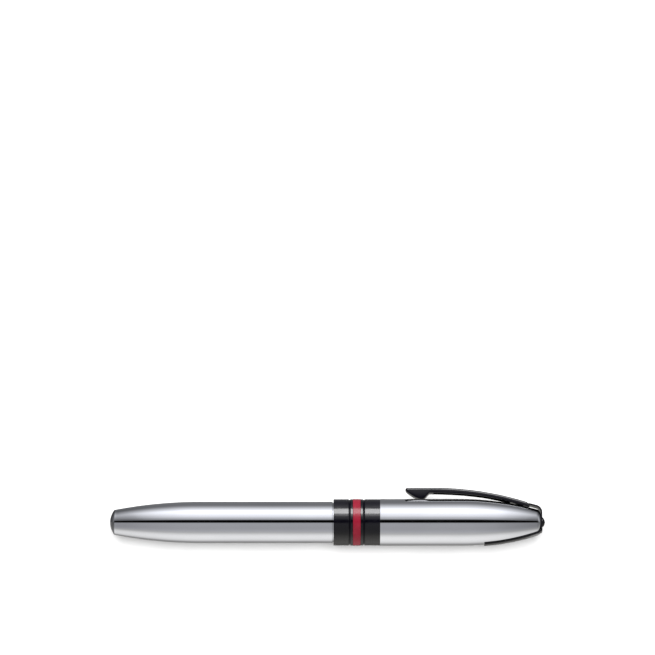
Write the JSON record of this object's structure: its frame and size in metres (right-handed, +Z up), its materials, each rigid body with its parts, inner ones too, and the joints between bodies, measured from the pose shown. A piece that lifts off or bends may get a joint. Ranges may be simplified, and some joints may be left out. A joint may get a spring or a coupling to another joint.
{
  "type": "fountain pen",
  "caption": "Capped torpedo-shaped fountain pen with a sprung clip, banded slip cap, screw-on barrel, nib and feed, and a screw-piston ink converter.",
  "frame": {"origin": "on the pen's axis, halfway along the capped pen", "axes": "+X along the axis towards the cap's crown, +Y towards the clip, +Z up out of the side that faces the viewer"},
  "size_m": [0.137, 0.0183, 0.0148],
  "materials": {
    "polished_shell": "mirror-polished plating over metal",
    "plated_trim": "polished plating",
    "black_plate": "gloss black finish on metal",
    "red_lacquer": "gloss red lacquer",
    "black_resin": "polished black",
    "feed_resin": "matte black",
    "liner_resin": "matte black",
    "spring_steel": "plain steel",
    "nib_steel": "polished steel",
    "soft_seal": "matte black",
    "brass": "turned brass",
    "clear_plastic": "clear moulded plastic"
  },
  "bodies": {
    "section": {"grip_section": "black_resin", "section_end_ring": "plated_trim", "section_coupling": "plated_trim", "nib_housing": "black_resin", "nib": "nib_steel", "feed": "feed_resin"},
    "snap_ring": {"cap_snap_ring": "spring_steel"},
    "cap": {"cap_shell": "polished_shell", "cap_band_sleeve": "black_resin", "cap_lip_ring": "black_plate", "cap_red_ring": "red_lacquer", "cap_upper_ring": "black_plate", "cap_snap_collar": "spring_steel", "inner_cap": "liner_resin", "inner_cap_seal": "soft_seal", "crown_block": "liner_resin", "crown_strap": "black_plate", "crown_button": "black_plate", "crown_washer": "spring_steel", "crown_nut": "spring_steel", "clip_spring": "spring_steel", "clip_pin": "spring_steel"},
    "clip": {"clip_arm": "black_plate"},
    "o_ring": {"barrel_o_ring": "soft_seal"},
    "barrel": {"barrel_shell": "polished_shell", "barrel_thread_insert": "brass"},
    "converter": {"converter_barrel": "clear_plastic", "converter_sleeve": "plated_trim", "rod_bush": "liner_resin", "agitator_ball": "spring_steel"},
    "knob": {"converter_knob": "black_resin"},
    "piston": {"piston_head": "liner_resin", "piston_seals": "soft_seal", "piston_rod": "spring_steel"}
  },
  "joints": [
    {"name": "cap_turn", "type": "hinge", "parent": "section", "child": "snap_ring", "pos_m": [0, 0, 0], "axis": [1, 0, 0], "continuous": true},
    {"name": "cap_pull", "type": "slide", "parent": "snap_ring", "child": "cap", "axis": [1, 0, 0], "range_m": [0, 0.075]},
    {"name": "clip_lift", "type": "hinge", "parent": "cap", "child": "clip", "pos_m": [0.0605, 0.0036, 0], "axis": [0, 0, -1], "range_deg": [0, 5], "stiffness_Nm_per_rad": 0.6, "springref_deg": -1.15},
    {"name": "barrel_turn", "type": "hinge", "parent": "section", "child": "o_ring", "pos_m": [0, 0, 0], "axis": [-1, 0, 0], "range_deg": [0, 1440]},
    {"name": "barrel_draw", "type": "slide", "parent": "o_ring", "child": "barrel", "axis": [-1, 0, 0], "range_m": [0, 0.075]},
    {"name": "converter_pull", "type": "slide", "parent": "section", "child": "converter", "axis": [-1, 0, 0], "range_m": [0, 0.005]},
    {"name": "converter_knob_turn", "type": "hinge", "parent": "converter", "child": "knob", "pos_m": [0, 0, 0], "axis": [1, 0, 0], "range_deg": [0, 1440]},
    {"name": "piston_travel", "type": "slide", "parent": "converter", "child": "piston", "axis": [-1, 0, 0], "range_m": [0, 0.02]}
  ],
  "couplings": [
    {"joint": "converter_knob_turn", "follows": "piston_travel", "rad_per_m": 1256.6}
  ]
}
